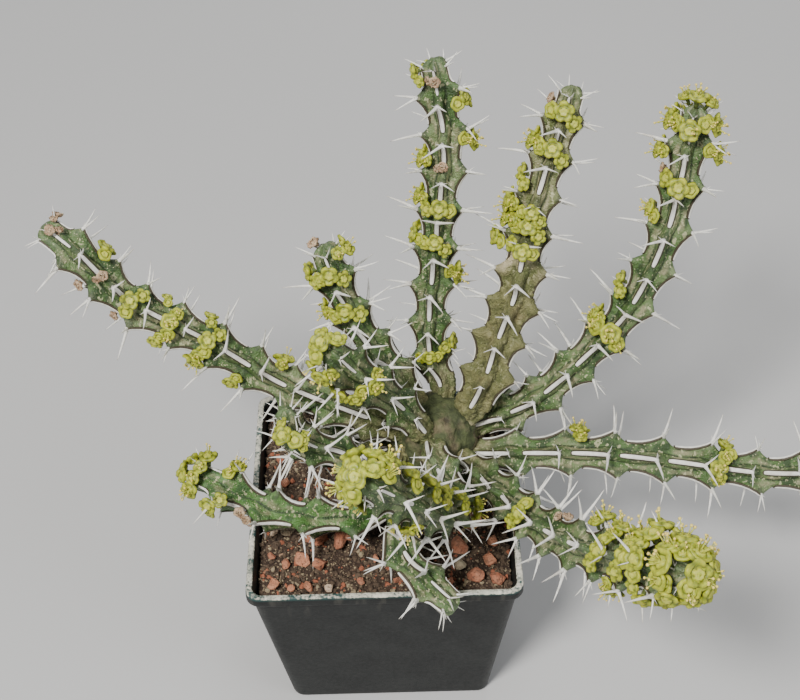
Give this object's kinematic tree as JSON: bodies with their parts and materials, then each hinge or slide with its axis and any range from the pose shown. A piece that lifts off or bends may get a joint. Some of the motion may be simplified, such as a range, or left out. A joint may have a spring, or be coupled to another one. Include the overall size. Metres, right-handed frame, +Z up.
{
  "type": "potted euphorbia",
  "caption": "Spiny succulent with ribbed, toothed stems spreading from a short trunk, in a square tapered plastic plant pot filled with gritty soil.",
  "frame": {"origin": "middle of the pot's flat underside, on the surface it stands on", "axes": "+Z up, +X to the right seen from the front, along the longest, nearly level stem; -Y towards the front"},
  "size_m": [0.245, 0.1538, 0.185],
  "materials": {
    "pot_plastic": "thin black moulded plastic, satin, with pale lime crust on the rim",
    "soil": "coarse dark brown gritty potting mix, matt",
    "brick_chip": "broken red brick, rough and matt",
    "bark": "old yellow-green to brown corky skin, rough",
    "skin": "grey-green waxy skin speckled with cream, satin, with grey horny spine shields",
    "old_skin": "yellow-brown corky skin at the foot turning grey-green, satin",
    "young_skin": "fresh green waxy skin, satin",
    "cyathia": "yellow-green waxy flower heads, slightly glossy"
  },
  "bodies": {
    "root": {"brick_chip_01": "brick_chip", "brick_chip_02": "brick_chip", "brick_chip_03": "brick_chip", "brick_chip_04": "brick_chip", "brick_chip_05": "brick_chip", "brick_chip_06": "brick_chip", "brick_chip_07": "brick_chip", "brick_chip_08": "brick_chip", "crown": "bark", "flowers_back_left_1": "cyathia", "flowers_back_left_2": "cyathia", "flowers_back_left_3": "cyathia", "flowers_back_left_4": "cyathia", "flowers_back_old_1": "cyathia", "flowers_back_old_2": "cyathia", "flowers_back_old_3": "cyathia", "flowers_back_old_4": "cyathia", "flowers_front_raised_1": "cyathia", "flowers_front_raised_2": "cyathia", "flowers_front_right_1": "cyathia", "flowers_front_right_2": "cyathia", "flowers_front_right_3": "cyathia", "flowers_left_long_1": "cyathia", "flowers_left_long_2": "cyathia", "flowers_left_long_3": "cyathia", "flowers_left_long_4": "cyathia", "flowers_left_long_5": "cyathia", "flowers_low_green_1": "cyathia", "flowers_low_green_2": "cyathia", "flowers_low_left_1": "cyathia", "flowers_middle_left_1": "cyathia", "flowers_middle_left_2": "cyathia", "flowers_right_curved_1": "cyathia", "flowers_right_curved_2": "cyathia", "flowers_right_curved_3": "cyathia", "flowers_right_curved_4": "cyathia", "flowers_right_curved_5": "cyathia", "flowers_right_long_1": "cyathia", "flowers_right_long_2": "cyathia", "flowers_right_long_3": "cyathia", "flowers_upright_1": "cyathia", "flowers_upright_2": "cyathia", "flowers_upright_3": "cyathia", "flowers_upright_4": "cyathia", "flowers_upright_5": "cyathia", "pot": "pot_plastic", "soil": "soil", "stem_back_left": "skin", "stem_back_old": "old_skin", "stem_front_low": "skin", "stem_front_raised": "skin", "stem_front_right": "skin", "stem_left_long": "skin", "stem_low_green": "young_skin", "stem_low_left": "skin", "stem_middle_left": "skin", "stem_right_curved": "skin", "stem_right_long": "skin", "stem_under_left": "skin", "stem_upright": "skin"}
  },
  "joints": []
}
